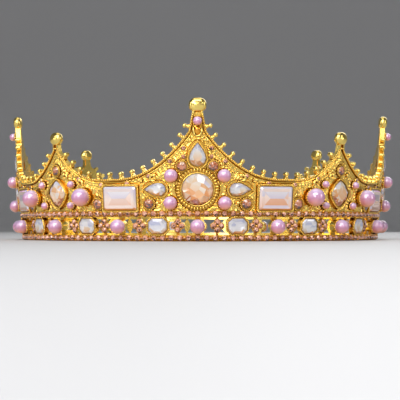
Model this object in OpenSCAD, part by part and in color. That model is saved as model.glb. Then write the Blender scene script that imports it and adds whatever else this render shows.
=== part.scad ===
// Full round baroque crown: gold metalwork set with champagne stones, rose rhinestones and pink pearls.
// Millimetres, +Z up, origin on the ground at the ring's centre, the first tall peak towards -Y.
// Places on the ring are given as an angle from -Y, counter-clockwise from above, and a height.

/* [Ring] */
// Outside radius of the lower rim
rim_r = 75; // [72:0.5:78]
// How far the wall leans outward for each millimetre of height
flare = 0.097; // [0.08:0.005:0.11]
// Thickness of the crest plate
plate_t = 1.4; // [1.2:0.1:1.6]
// Thickness of the rails, from inside to outside
rail_t = 2.2; // [2:0.1:2.4]

/* [Heights] */
// Height of each of the two rails
rail_h = 2.4; // [2.2:0.1:2.6]
// Underside of the upper rail
upper_rail_z = 9; // [8.8:0.1:9.2]
// Lowest point of the border between two peaks
valley_z = 23.1; // [22.6:0.1:23.4]
// Height at which a tall peak narrows to its neck
tall_neck_z = 40.4; // [40:0.1:40.8]
// Height at which a low peak narrows to its neck
low_neck_z = 34.5; // [34:0.1:35]
// Centre height of the finial on a tall peak
tall_ball_z = 50; // [49.5:0.1:50.5]
// Centre height of the finial on a low peak
low_ball_z = 39.2; // [38.8:0.1:39.6]

/* [Finials and picots] */
// Width and height of the flattened finial ball on a tall peak
tall_ball_size = [6.5, 5.3];
// Width and height of the flattened finial ball on a low peak
low_ball_size = [5.8, 5];
// Thickness of a finial ball, from inside to outside
ball_t = 3.3; // [3:0.1:3.6]
// Number of picots between a tall peak and the next low one
picots = 14; // [12:1:15]
// Diameter of a picot's round head
picot_d = 1.6; // [1.5:0.1:1.8]
// How far the centre of a picot's head stands off the border
picot_reach = 1.9; // [1.7:0.1:2.1]

/* [Stones] */
// Diameter of the round stones
round_d = 12; // [11.6:0.1:12.2]
// Width and length of the upper pear stones
top_pear_size = [6.3, 8.9];
// Width and length of the side pear stones
side_pear_size = [5.2, 8.4];
// Width and height of the rectangular stones
baguette_size = [13.7, 9.1];
// Corner to corner width of the square stones
cushion_d = 10.3; // [10:0.1:10.5]
// Width and height of the cut-corner gallery stones
gallery_stone_size = [7.3, 5.9];
// Diameter of the medium rose rhinestones
rose_d = 3.8; // [3.6:0.1:4]

/* [Pearls] */
// Diameter of the big pearls
big_pearl_d = 6.8; // [6.6:0.1:7]
// Diameter of the gallery pearls
gallery_pearl_d = 5.5; // [5.3:0.1:5.6]
// Diameter of the crest pearls
crest_pearl_d = 5; // [4.8:0.1:5.1]
// Diameter of the tip pearls
tip_pearl_d = 3.3; // [3.1:0.1:3.4]
// Diameter of the small pearls
small_pearl_d = 2.8; // [2.6:0.1:2.9]

/* [Eyes] */
// Radius of the hole through each wire eye
eye_r = 2.1; // [2:0.05:2.2]
// Diameter of the eye's wire
eye_wire_d = 1.3; // [1.2:0.05:1.4]

/* [Hidden] */
$fn = 48;
lean = atan(flare);
peak_step = 45;
mm_per_deg = rim_r * PI / 180;

// Distances from the nominal cone, outward positive
plate_face = -0.8;
plate_back = plate_face - plate_t;
wire_face = -0.2;
field_face = -0.45;
rail_back = -rail_t;
seat_floor = -1.1;
back_hole_floor = -5;
far = 8;

// Each layer starts at its own depth inside the plate or the rails, so that no two faces coincide
field_back = plate_back + 0.3;
wire_back = plate_back + 0.2;
collet_back = plate_back + 0.35;
small_back = plate_back + 0.5;
picot_back = plate_back + 0.4;
gallery_back = rail_back + 0.2;
gallery_collet_back = rail_back + 0.3;
gallery_cup_back = rail_back + 0.4;

// Free space between a stone or pearl and its setting
gap = 0.1;

// Walls of metal round the stones, and how high they stand
collet_wall = 0.7;
round_wall = 1.4;
gallery_wall = 0.45;
rose_wall = 0.55;
round_lip = 0.3;
collet_lip = 0.4;
rose_lip = 0.1;

// The border between a tall peak's neck and a low peak's, as angles from the tall peak
valley_az = 26.5;
level_az = 2.4;
tall_neck_az = 2.35;
low_neck_az = peak_step - 1.2;
tall_power = 2.3;
low_power = 2.05;
overlap_az = 1;
// How much lower the low sections' border lies, so that no level faces coincide in the valleys
low_drop = 0.08;
tall_steps = 13;
low_steps = 9;
wire_w = 0.6;
wire_over = 0.15;
channel_w = 3.3;

// Columns of the place tables: angle, height, turn about the outward normal, diameter
AZ = 0;
Z = 1;
TURN = 2;
DIAM = 3;

// Every place repeats on each quarter of the ring
function quarters(places) =
    [for (q = [0:3]) for (p = places) concat([p[AZ] + 90 * q], [for (c = [1:len(p) - 1]) p[c]])];
// A place and its mirror image about the angle c
function pair(c, az, z, turn = 0, d = 0) = [[c - az, z, turn, d], [c + az, z, -turn, d]];

TALL = 0;
LOW = peak_step;
ROUND_AT = quarters([[TALL, 19.2, 0]]);
TOP_PEAR_AT = quarters([[TALL, 32, 0]]);
SIDE_PEAR_AT = quarters(pair(TALL, 11.8, 19.2, 90));
BAGUETTE_AT = quarters(pair(TALL, 22.2, 16));
CUSHION_AT = quarters([[LOW, 18.2, 0]]);
BIG_PEARL_AT = quarters(pair(LOW, 11.2, 16.8));
CREST_PEARL_AT = quarters(concat(pair(TALL, 7.1, 24.3), pair(TALL, 7.35, 14.3)));
TIP_PEARL_AT = quarters([[TALL, 44.2, 0]]);
SMALL_PEARL_AT = quarters(concat(pair(LOW, 6.6, 21.6), pair(LOW, 6, 13.6)));
GALLERY_PEARL_AT = [for (i = [0:15]) [22.5 * i, 5.7, 0]];
GALLERY_STONE_AT = [for (i = [0:15]) [22.5 * i + 11.25, 5.7, 0]];
FLOWER_AT = [for (i = [0:31]) [11.25 * i + 5.6, 5.7, 0]];
ROSE_AT = quarters(concat(
    pair(TALL, 4.3, 27.6, 0, rose_d),
    pair(TALL, 13.7, 13.9, 0, rose_d),
    pair(LOW, 15.4, 13.9, 0, rose_d),
    [[LOW, 27, 0, rose_d - 0.3]]
));

// How far each pearl's centre stands out from the nominal cone, its cup's hollow clear of the field
function pearl_out(d) = field_face + 2 * gap + d / 2;

// Radius of the nominal cone at a height
function cone_r(z) = rim_r + flare * z;

// The neck's half width where it meets the finial ball, and that place's height
tall_tip = [1.75, tall_ball_z - 2];
low_tip = [1.3, low_ball_z - 2];
tall_tip_az = asin(tall_tip[0] / cone_r(tall_tip[1]));

// Height of the border at an angle from the tall peak: straight along the neck, level across the valley
function border_z(a) = let (
    tall_foot = valley_az - level_az,
    low_foot = valley_az + level_az,
    neck_rise = (tall_tip[1] - tall_neck_z) / (tall_neck_az - tall_tip_az)
) a < tall_neck_az
    ? tall_neck_z + (tall_neck_az - a) * neck_rise
    : a < tall_foot
        ? valley_z + (tall_neck_z - valley_z) * pow((tall_foot - a) / (tall_foot - tall_neck_az), tall_power)
        : a > low_foot
            ? valley_z + (low_neck_z - valley_z) * pow((a - low_foot) / (low_neck_az - low_foot), low_power)
            : valley_z;

// Moves its children to a place on the wall, their Z pointing outward and Y up along the wall
module on_wall(place) {
    rotate([0, 0, place[AZ]])
        translate([0, -cone_r(place[Z]), place[Z]])
            rotate([90 + lean, 0, 0])
                rotate(is_undef(place[TURN]) ? 0 : place[TURN])
                    children();
}

// An outline extruded outward from one distance to another
module slab(points, from, to) {
    translate([0, 0, from])
        linear_extrude(to - from)
            polygon(points);
}

module disc(d, from, to) {
    translate([0, 0, from])
        cylinder(d = d, h = to - from);
}

// Outlines of the stones, centred on the origin

function pear_outline(w, l, n = 16) =
    [for (i = [0:n - 1]) let (t = 360 * i / n) [w / 2 * sin(t) * sin(t / 2) / 0.77, l / 2 * cos(t)]];
function block_outline(w, h, c) = [
    [w / 2, h / 2 - c], [w / 2 - c, h / 2], [c - w / 2, h / 2], [-w / 2, h / 2 - c],
    [-w / 2, c - h / 2], [c - w / 2, -h / 2], [w / 2 - c, -h / 2], [w / 2, c - h / 2]
];
function bulge(v) = sign(v) * pow(abs(v), 1.45);
function cushion_outline(d, n = 16) =
    [for (i = [0:n - 1]) let (t = 360 * i / n) [d / 2 * bulge(cos(t)), d / 2 * bulge(sin(t))]];
function round_outline(d, n = 16) =
    [for (i = [0:n - 1]) let (t = 360 * (i + 0.5) / n) [d / 2 * cos(t), d / 2 * sin(t)]];

// A faceted stone: its table, an upper and a lower crown ring, the girdle and a tapered back.
// Each level is a ring of the outline, shrunk, at its distance from the nominal cone.
SHRINK = 0;
OUT = 1;
module cut_stone(outline, levels) {
    n = len(outline);
    m = len(levels);
    points = [for (lv = levels) for (p = outline) [p[0] * lv[SHRINK], p[1] * lv[SHRINK], lv[OUT]]];
    sides = [for (k = [0:m - 2]) for (i = [0:n - 1]) let (j = (i + 1) % n)
        each [[k * n + i, (k + 1) * n + i, (k + 1) * n + j], [k * n + i, (k + 1) * n + j, k * n + j]]];
    back = [for (i = [0:n - 1]) i];
    table = [for (i = [0:n - 1]) (m - 1) * n + n - 1 - i];
    polyhedron(points, concat(sides, [back, table]));
}
function stone_levels(top) = [
    [0.45, seat_floor + gap], [0.97, 0], [1, 0.25], [0.86, 0.25 + (top - 0.25) * 0.6], [0.6, top]
];

round_levels = stone_levels(2.2);
pear_levels = stone_levels(1.6);
block_levels = stone_levels(1.5);
small_levels = stone_levels(1);

// Outlines at their real size, and widened by the same amount all round for seats and collets

function top_pear_line(w = 0) = pear_outline(top_pear_size[0] + 2 * w, top_pear_size[1] + 2.6 * w);
function side_pear_line(w = 0) = pear_outline(side_pear_size[0] + 2 * w, side_pear_size[1] + 2.6 * w);
function baguette_line(w = 0) = block_outline(baguette_size[0] + 2 * w, baguette_size[1] + 2 * w, 0.6);
function cushion_line(w = 0) = cushion_outline(cushion_d + 2.4 * w);
function gallery_line(w = 0) =
    block_outline(gallery_stone_size[0] + 2 * w, gallery_stone_size[1] + 2 * w, 1.5);

// The frame's pieces, soldered together

// A ring that follows the cone between two heights and two distances from it
module cone_ring(z0, z1, inner, outer) {
    rotate_extrude($fn = 144)
        polygon([
            [cone_r(z0) + inner, z0], [cone_r(z0) + outer, z0],
            [cone_r(z1) + outer, z1], [cone_r(z1) + inner, z1]
        ]);
}

module rails() {
    cone_ring(0, rail_h, rail_back, 0);
    cone_ring(upper_rail_z, upper_rail_z + rail_h, rail_back, 0);
}

// The border's points as seen along a section's outward direction
function seen(a, z, c) = [cone_r(z) * sin(a - c), z];
// Angles along one side of a section, from its neck out past the valley
function side_angles(neck, last, n) = [for (i = [0:n]) neck + (last - neck) * pow(i / n, 1.3)];
function section_angles(neck, side, n) =
    concat(side_angles(neck, valley_az - side * level_az, n), [valley_az, valley_az + side * overlap_az]);
tall_angles = section_angles(tall_neck_az, 1, tall_steps);
low_angles = section_angles(low_neck_az, -1, low_steps);
function side_line(c) = let (
    angles = c == TALL ? tall_angles : low_angles,
    drop = c == TALL ? 0 : low_drop
) [for (a = angles) let (p = seen(a, border_z(a) - drop, c)) [abs(p[0]), p[1]]];

// One side's whole line, from the finial down
function whole_line(c) = concat([c == TALL ? tall_tip : low_tip], side_line(c));

// One section's whole outline: down one side's line, along a level and up the other side
function section_outline(line, low) = let (
    half = [for (p = line) if (p[0] > 0) p],
    end = half[len(half) - 1]
) concat(
    half,
    [[end[0], low], [-end[0], low]],
    [for (i = [len(half) - 1:-1:0]) [-half[i][0], half[i][1]]]
);

// Unit vector pointing down and inward from the border, at point i of a line
function inward(line, i) = let (
    a = line[max(i - 1, 0)],
    b = line[min(i + 1, len(line) - 1)],
    d = (b - a) / norm(b - a)
) [d[1], -d[0]];

// A line moved inward by a distance
function moved_in(line, w) = [for (i = [0:len(line) - 1]) line[i] + w * inward(line, i)];

// The border wire of one side: it stands a little over the plate's edge and covers the edge's inner side
function wire_outline(line) = let (outer = moved_in(line, -wire_over), inner = moved_in(line, wire_w)) concat(
    outer,
    [for (i = [len(line) - 1:-1:0]) inner[i]]
);

// Picots stand at even steps along the border, measured on the unrolled wall,
// from the tall peak's neck to the low peak's shoulder
first_picot_az = 2.1;
last_picot_az = 41.9;
border_samples = 80;
function sample_az(i) = first_picot_az + (last_picot_az - first_picot_az) * i / border_samples;
function unrolled(i) = [sample_az(i) * mm_per_deg, border_z(sample_az(i))];
function run_length(i) = i == 0 ? 0 : run_length(i - 1) + norm(unrolled(i) - unrolled(i - 1));
RUN = [for (i = [0:border_samples]) [run_length(i), sample_az(i)]];
picot_pitch = RUN[border_samples][0] / (picots - 1);
function picot_az(k) = lookup(k * picot_pitch, RUN);

// The picots: each stands square to the border, with a flared foot, a short neck and a round head
picot_post = [
    [-0.95, -0.4], [0.95, -0.4], [0.85, 0.3], [0.5, 1.1],
    [0.45, picot_reach], [-0.45, picot_reach], [-0.5, 1.1], [-0.85, 0.3]
];
picot_face = wire_face - 0.15;
module border_picots() {
    step = 0.25;
    for (q = [0:3], k = [0:picots - 1], side = [-1, 1]) {
        a = picot_az(k);
        slope = atan2(border_z(a + step) - border_z(a - step), 2 * step * mm_per_deg);
        on_wall([90 * q + side * a, border_z(a), side * slope]) {
            slab(picot_post, picot_back, picot_face);
            translate([0, picot_reach, 0]) disc(picot_d, picot_back, picot_face);
        }
    }
}

// An outline that faces outward, extruded through the wall
wall_from = rim_r - 15;
wall_depth = 25;
module prism() {
    rotate([90, 0, 0])
        translate([0, 0, wall_from])
            linear_extrude(wall_depth)
                children();
}

// The outlines of all eight sections, or of the fields that lie inset within them
module section_prisms(inset, low) {
    for (q = [0:3], c = [TALL, LOW])
        rotate([0, 0, 90 * q + c])
            prism()
                polygon(section_outline(moved_in(whole_line(c), inset), low));
}

module wire_prisms() {
    for (q = [0:3], c = [TALL, LOW])
        rotate([0, 0, 90 * q + c])
            prism() {
                polygon(wire_outline(whole_line(c)));
                mirror([1, 0]) polygon(wire_outline(whole_line(c)));
            }
}

// The crest: its plate, the raised field inside the channel, and the border wire
module crest() {
    foot = upper_rail_z + rail_h / 2;
    field_foot = foot + 0.3;
    field_top = tall_tip[1] - channel_w * 1.3;
    wire_foot = valley_z - 3;
    intersection() {
        cone_ring(foot, tall_ball_z, plate_back, plate_face);
        section_prisms(0, foot - 1);
    }
    intersection() {
        cone_ring(field_foot, field_top, field_back, field_face);
        section_prisms(channel_w, field_foot - 1);
    }
    intersection() {
        cone_ring(wire_foot, tall_ball_z, wire_back, wire_face);
        wire_prisms();
    }
}

// A flattened ball with a rounded edge, a little wider than it is high
module finial(size) {
    core = size[1] / 2 - ball_t / 2;
    for (side = [-1, 1])
        translate([side * (size[0] - size[1]) / 2, 0, (plate_back + wire_face) / 2])
            rotate_extrude() {
                translate([core, 0])
                    intersection() {
                        circle(d = ball_t);
                        translate([0, -ball_t / 2]) square([ball_t / 2, ball_t]);
                    }
                translate([0, -ball_t / 2])
                    square([core, ball_t]);
            }
}

module finials() {
    for (q = [0:3]) {
        on_wall([90 * q, tall_ball_z]) finial(tall_ball_size);
        on_wall([90 * q + LOW, low_ball_z]) finial(low_ball_size);
    }
}

// Raised C-scrolls of the cast relief: angle, height, turn, radius of the curl.
// One of each pair is the other's mirror image.
CURL = 3;
SCROLL_AT = quarters(concat(
    pair(TALL, 12.4, 23.4, 60, 1.1),
    pair(TALL, 10.5, 14.4, 190, 1),
    pair(LOW, 3.5, 24.6, 60, 0.9),
    pair(LOW, 9.4, 22, 80, 1),
    pair(LOW, 8.7, 13.2, 200, 0.9)
));
module scrolls() {
    wire = 0.8;
    sweep = 250;
    for (p = SCROLL_AT) on_wall(p) mirror([p[TURN] < 0 ? 1 : 0, 0, 0]) {
        translate([0, 0, field_face - wire / 2])
            rotate_extrude(angle = sweep)
                translate([p[CURL] - wire / 2, 0])
                    square([wire, wire]);
        translate([p[CURL], 0, 0])
            disc(wire * 1.6, field_face - wire / 2, field_face + wire * 0.7);
    }
}

// Collets: walls of metal round the stones

module collets() {
    for (p = ROUND_AT) on_wall(p) disc(round_d + 2 * round_wall, collet_back, round_lip);
    for (p = TOP_PEAR_AT) on_wall(p) slab(top_pear_line(collet_wall), small_back, collet_lip);
    for (p = SIDE_PEAR_AT) on_wall(p) slab(side_pear_line(collet_wall), small_back, collet_lip);
    for (p = BAGUETTE_AT) on_wall(p) slab(baguette_line(collet_wall), collet_back, collet_lip);
    for (p = CUSHION_AT) on_wall(p) slab(cushion_line(collet_wall), collet_back, collet_lip);
    for (p = GALLERY_STONE_AT) on_wall(p) slab(gallery_line(gallery_wall), gallery_collet_back, collet_lip);
    for (p = ROSE_AT) on_wall(p) disc(p[DIAM] + 2 * rose_wall, small_back, rose_lip);
}

// Seats: pockets that the stones lie in, and smaller holes behind them through which their backs show
module stone_seats() {
    for (p = ROUND_AT) on_wall(p) {
        disc(round_d + 2 * gap, seat_floor, far);
        disc(round_d * 0.56, back_hole_floor, far);
    }
    for (p = TOP_PEAR_AT) on_wall(p) {
        slab(top_pear_line(gap), seat_floor, far);
        slab(0.6 * top_pear_line(), back_hole_floor, far);
    }
    for (p = SIDE_PEAR_AT) on_wall(p) {
        slab(side_pear_line(gap), seat_floor, far);
        slab(0.6 * side_pear_line(), back_hole_floor, far);
    }
    for (p = BAGUETTE_AT) on_wall(p) {
        slab(baguette_line(gap), seat_floor, far);
        slab(0.6 * baguette_line(), back_hole_floor, far);
    }
    for (p = CUSHION_AT) on_wall(p) {
        slab(cushion_line(gap), seat_floor, far);
        disc(4.2, back_hole_floor, far);
    }
    for (p = GALLERY_STONE_AT) on_wall(p) {
        slab(gallery_line(gap), seat_floor, far);
        slab(0.7 * gallery_line(), back_hole_floor, far);
    }
    for (p = ROSE_AT) on_wall(p) disc(p[DIAM] + 2 * gap, seat_floor, far);
}

// Cups: short round posts hollowed to the pearls' own curve
module cups(places, d, from) {
    for (p = places) on_wall(p)
        difference() {
            disc(d * 0.8, from, pearl_out(d) - d * 0.22);
            translate([0, 0, pearl_out(d)]) sphere(d = d + 2 * gap);
        }
}

module pearl_cups() {
    cups(BIG_PEARL_AT, big_pearl_d, small_back);
    cups(CREST_PEARL_AT, crest_pearl_d, small_back);
    cups(TIP_PEARL_AT, tip_pearl_d, small_back);
    cups(SMALL_PEARL_AT, small_pearl_d, small_back);
    cups(GALLERY_PEARL_AT, gallery_pearl_d, gallery_cup_back);
}

// A drop-shaped boss under each tip pearl
module bosses() {
    boss_z = 40.4;
    for (q = [0:3]) on_wall([90 * q, boss_z]) slab(pear_outline(3, 4), small_back, 0);
}

// The gallery's posts and four-lobed flowers
module strut(w, from, to) {
    h = upper_rail_z - rail_h + 1.2;
    translate([-w / 2, -h / 2, from])
        cube([w, h, to - from]);
}

module gallery() {
    petal_d = 2.4;
    petal_out = 1.5;
    petal_face = -0.6;
    for (p = GALLERY_PEARL_AT) on_wall(p) strut(2.2, gallery_back, gallery_back + 0.8);
    for (p = FLOWER_AT) on_wall(p) {
        strut(1, gallery_back, gallery_back + 0.9);
        for (t = [0:90:270])
            rotate([0, 0, t])
                translate([petal_out, 0, 0])
                    disc(petal_d, gallery_back, petal_face);
    }
}

// Four flat-lying wire eyes soldered inside the lower rim
module eyes() {
    ring_r = eye_r + eye_wire_d * 0.35;
    lift = 0.3;
    for (q = [0:3])
        rotate([0, 0, 90 * q])
            translate([0, -(rim_r + rail_back - ring_r - 0.2), lift + eye_wire_d / 2])
                difference() {
                    rotate_extrude()
                        translate([ring_r, 0]) circle(d = eye_wire_d);
                    cylinder(r = eye_r, h = 2 * eye_wire_d, center = true);
                }
}

module crown_frame() {
    color([0.88, 0.66, 0.2])
        difference() {
            union() {
                rails();
                crest();
                border_picots();
                finials();
                collets();
                pearl_cups();
                bosses();
                scrolls();
                gallery();
                eyes();
            }
            stone_seats();
        }
}

champagne = [0.95, 0.76, 0.62];
clear_stone = [0.93, 0.88, 0.87];
rose = [0.5, 0.22, 0.18];
pearl_pink = [0.9, 0.7, 0.82];

module round_stone(i) {
    color(champagne) on_wall(ROUND_AT[i]) cut_stone(round_outline(round_d), round_levels);
}

module top_pear(i) {
    color(champagne) on_wall(TOP_PEAR_AT[i]) cut_stone(top_pear_line(), pear_levels);
}

module side_pear(i) {
    color(clear_stone) on_wall(SIDE_PEAR_AT[i]) cut_stone(side_pear_line(), pear_levels);
}

module baguette(i) {
    color(champagne) on_wall(BAGUETTE_AT[i]) cut_stone(baguette_line(), block_levels);
}

module cushion_stone(i) {
    color(champagne) on_wall(CUSHION_AT[i]) cut_stone(cushion_line(), pear_levels);
}

module pearl(place, d) {
    color(pearl_pink) on_wall(place) translate([0, 0, pearl_out(d)]) sphere(d = d);
}

module big_pearl(i) {
    pearl(BIG_PEARL_AT[i], big_pearl_d);
}

module crest_pearls() {
    for (p = CREST_PEARL_AT) pearl(p, crest_pearl_d);
}

module tip_pearls() {
    for (p = TIP_PEARL_AT) pearl(p, tip_pearl_d);
}

module small_pearls() {
    for (p = SMALL_PEARL_AT) pearl(p, small_pearl_d);
}

module gallery_pearls() {
    for (p = GALLERY_PEARL_AT) pearl(p, gallery_pearl_d);
}

module gallery_stones() {
    color(clear_stone)
        for (p = GALLERY_STONE_AT) on_wall(p) cut_stone(gallery_line(), small_levels);
}

module rose_stones() {
    color(rose)
        for (p = ROSE_AT) on_wall(p) cut_stone(round_outline(p[DIAM], 8), small_levels);
}

crown_frame();
for (i = [0:3]) round_stone(i);
for (i = [0:3]) top_pear(i);
for (i = [0:7]) side_pear(i);
for (i = [0:7]) baguette(i);
for (i = [0:3]) cushion_stone(i);
for (i = [0:7]) big_pearl(i);
crest_pearls();
tip_pearls();
small_pearls();
gallery_pearls();
gallery_stones();
rose_stones();
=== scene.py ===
"""Looks of the round baroque crown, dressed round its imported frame.

Shapes are worked out in millimetres and written to the meshes in metres. A place on the wall is an
angle from -Y (counter-clockwise from above), a height and a turn. Its own axes point right, up and
outward from the nominal cone. A shape is its points in those axes and its faces, and a cut stone also
has a mark for each face, 0 on its glass and 1 on its foil.
"""
import math

import bpy
import numpy as np
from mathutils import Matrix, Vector


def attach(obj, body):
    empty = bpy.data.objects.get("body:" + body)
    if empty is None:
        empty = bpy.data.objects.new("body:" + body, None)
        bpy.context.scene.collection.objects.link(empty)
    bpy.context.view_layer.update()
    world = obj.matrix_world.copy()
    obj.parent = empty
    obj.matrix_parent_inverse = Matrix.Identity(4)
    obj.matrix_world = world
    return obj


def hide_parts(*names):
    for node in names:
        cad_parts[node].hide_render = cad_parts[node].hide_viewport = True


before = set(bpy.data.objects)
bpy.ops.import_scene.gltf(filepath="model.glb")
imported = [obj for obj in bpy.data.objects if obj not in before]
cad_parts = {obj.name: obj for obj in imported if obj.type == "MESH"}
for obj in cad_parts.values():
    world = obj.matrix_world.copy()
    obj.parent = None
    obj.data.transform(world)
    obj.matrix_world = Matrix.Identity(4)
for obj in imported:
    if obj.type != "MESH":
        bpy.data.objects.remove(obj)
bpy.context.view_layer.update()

MM = 0.001

# Driving dimensions, as in the part's source
RIM_R = 75.0
FLARE = 0.097
LEAN = math.atan(FLARE)
RAIL_H = 2.4
UPPER_RAIL_Z = 9.0
VALLEY_Z, VALLEY_AZ, LEVEL_AZ = 23.1, 26.5, 2.4
TALL_NECK_Z, TALL_NECK_AZ, TALL_POWER = 40.4, 2.35, 2.3
LOW_NECK_Z, LOW_NECK_AZ, LOW_POWER = 34.5, 43.8, 2.05
TIP_HALF_W, TIP_DROP = 1.75, 2.0
TALL_BALL_Z, TALL_BALL = 50.0, (6.5, 5.3)
LOW_BALL_Z, LOW_BALL = 39.2, (5.8, 5.0)
BALL_T = 3.3
PICOTS, PICOT_D, PICOT_REACH = 14, 1.6, 1.9
FIRST_PICOT_AZ, LAST_PICOT_AZ = 2.1, 41.9
PLATE_FACE, PLATE_BACK = -0.8, -2.2
WIRE_FACE, FIELD_FACE = -0.2, -0.45
CHANNEL_W = 3.3
SEAT_FLOOR, SEAT_GAP = -1.1, 0.1

ROUND_D = 12.0
TOP_PEAR = (6.3, 8.9)
SIDE_PEAR = (5.2, 8.4)
BAGUETTE, BAGUETTE_CORNER = (13.7, 9.1), 0.6
CUSHION_D = 10.3
GALLERY_STONE, GALLERY_CORNER = (7.3, 5.9), 1.5
ROSE_D = 3.8
BIG_PEARL_D, GALLERY_PEARL_D, CREST_PEARL_D = 6.8, 5.5, 5.0
TIP_PEARL_D, SMALL_PEARL_D = 3.3, 2.8

TALL, LOW, QUARTER = 0.0, 45.0, 90.0


# Places round the ring


def quarters(places):
    """Copies of places in every quarter of the ring."""
    return [(p[0] + QUARTER * q,) + tuple(p[1:]) for q in range(4) for p in places]


def pair(c, az, z, turn=0.0, *more):
    """A place and its mirror image on either side of the angle c."""
    return [(c - az, z, turn) + more, (c + az, z, -turn) + more]


def all_round(places):
    """Copies of half-section places, mirrored with their turns and brought to every section."""
    halves = [(QUARTER * q, s) for q in range(4) for s in (-1, 1)]
    return [(at + s * p[0], p[1], *(s * turn for turn in p[2:])) for at, s in halves for p in places]


ROUND_AT = quarters([(TALL, 19.2, 0.0)])
TOP_PEAR_AT = quarters([(TALL, 32.0, 0.0)])
SIDE_PEAR_AT = quarters(pair(TALL, 11.8, 19.2, 90.0))
BAGUETTE_AT = quarters(pair(TALL, 22.2, 16.0))
CUSHION_AT = quarters([(LOW, 18.2, 0.0)])
BIG_PEARL_AT = quarters(pair(LOW, 11.2, 16.8))
CREST_PEARL_AT = quarters(pair(TALL, 7.1, 24.3) + pair(TALL, 7.35, 14.3))
TIP_PEARL_AT = quarters([(TALL, 44.2, 0.0)])
SMALL_PEARL_AT = quarters(pair(LOW, 6.6, 21.6) + pair(LOW, 6.0, 13.6))
GALLERY_Z, GALLERY_STEP, FLOWER_AZ = 5.7, 22.5, 5.6
GALLERY_PEARL_AT = [(GALLERY_STEP * i, GALLERY_Z, 0.0) for i in range(16)]
GALLERY_STONE_AT = [(GALLERY_STEP * (i + 0.5), GALLERY_Z, 0.0) for i in range(16)]
FLOWER_AT = [(GALLERY_STEP / 2 * i + FLOWER_AZ, GALLERY_Z, 0.0) for i in range(32)]
ROSE_AT = quarters(
    pair(TALL, 4.3, 27.6, 0.0, ROSE_D)
    + pair(TALL, 13.7, 13.9, 0.0, ROSE_D)
    + pair(LOW, 15.4, 13.9, 0.0, ROSE_D)
    + [(LOW, 27.0, 0.0, ROSE_D - 0.3)]
)


def cone_r(z):
    return RIM_R + FLARE * z


def pearl_out(d):
    return FIELD_FACE + 2 * SEAT_GAP + d / 2


def border_z(a):
    """Height of the border at an angle of 0 to 45 degrees from a tall peak, straight along its neck."""
    tall_foot, low_foot = VALLEY_AZ - LEVEL_AZ, VALLEY_AZ + LEVEL_AZ
    a = np.asarray(a, float)
    tall = np.clip((tall_foot - a) / (tall_foot - TALL_NECK_AZ), 0, None) ** TALL_POWER
    low = np.clip((a - low_foot) / (LOW_NECK_AZ - low_foot), 0, None) ** LOW_POWER
    curve = VALLEY_Z + (TALL_NECK_Z - VALLEY_Z) * tall + (LOW_NECK_Z - VALLEY_Z) * low
    tip_z = TALL_BALL_Z - TIP_DROP
    tip_az = math.degrees(math.asin(TIP_HALF_W / cone_r(tip_z)))
    neck = TALL_NECK_Z + (TALL_NECK_AZ - a) * (tip_z - TALL_NECK_Z) / (TALL_NECK_AZ - tip_az)
    return np.where(a < TALL_NECK_AZ, neck, curve)


def on_wall(verts, place):
    """Moves points from a place's own axes (right, up, outward) to the ring."""
    az, z = math.radians(place[0]), place[1]
    turn = math.radians(place[2]) if len(place) > 2 else 0.0
    out_flat = np.array([math.sin(az), -math.cos(az), 0.0])
    right = np.array([math.cos(az), math.sin(az), 0.0])
    up_z = np.array([0.0, 0.0, 1.0])
    outward = out_flat * math.cos(LEAN) - up_z * math.sin(LEAN)
    up = out_flat * math.sin(LEAN) + up_z * math.cos(LEAN)
    x = math.cos(turn) * right + math.sin(turn) * up
    y = -math.sin(turn) * right + math.cos(turn) * up
    return out_flat * cone_r(z) + up_z * z + verts @ np.stack([x, y, outward])


def new_piece(name, verts, faces, materials, smooth):
    mesh = bpy.data.meshes.new(name)
    mesh.from_pydata(verts, [], faces)
    mesh.polygons.foreach_set("use_smooth", [smooth] * len(faces))
    for m in materials:
        mesh.materials.append(m)
    piece = bpy.data.objects.new(name, mesh)
    bpy.context.scene.collection.objects.link(piece)
    return piece


class Pile:
    """Small shapes that are joined into one mesh, with each point's lift within its own shape, -1 to 1."""

    def __init__(self):
        self.points, self.faces, self.marks, self.lifts, self.count = [], [], [], [], 0

    def add(self, shape, place=None):
        verts, faces = shape[0], shape[1]
        marks = shape[2] if len(shape) > 2 else [0] * len(faces)
        v = np.asarray(verts, float) if place is None else on_wall(verts, place)
        self.points.append(v)
        low, high = v[:, 2].min(), v[:, 2].max()
        self.lifts.append((2 * v[:, 2] - low - high) / max(high - low, 1e-6))
        n = self.count
        self.faces.extend([tuple(i + n for i in f) for f in faces])
        self.marks.extend(marks)
        self.count += len(v)

    def build(self, name, slot, materials, smooth=True, replaced=()):
        points = np.concatenate(self.points) * MM
        piece = new_piece(name, points.tolist(), self.faces, materials, smooth)
        piece.data.polygons.foreach_set("material_index", self.marks)
        lift = piece.data.attributes.new("lift", "FLOAT", "POINT")
        lift.data.foreach_set("value", np.concatenate(self.lifts))
        piece.data.update()
        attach(piece, "root")
        if replaced:
            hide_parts(*replaced)


# Helpers for points and faces


def circle(n, phase=0.0):
    """Points of a unit circle, from a share of one step on."""
    t = 2 * math.pi * (np.arange(n) + phase) / n
    return np.column_stack([np.cos(t), np.sin(t)])


def level(points, out):
    """Flat points, all at one distance out."""
    return np.column_stack([points, np.full(len(points), out)])


def unit(rows):
    return rows / np.linalg.norm(rows, axis=1, keepdims=True)


def strip(a, b, n):
    """Faces between closed rings of n points with first points a and b, where b lies behind a."""
    return [(a + i, b + i, b + (i + 1) % n, a + (i + 1) % n) for i in range(n)]


def rising(a, b, n):
    """The same, wound the other way, for a ring b in front of a."""
    return [(a + i, a + (i + 1) % n, b + (i + 1) % n, b + i) for i in range(n)]


def bands(rings, n, first=0):
    """Faces between rings of n points, one behind the other."""
    return [face for k in range(rings - 1) for face in strip(first + k * n, first + (k + 1) * n, n)]


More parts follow.
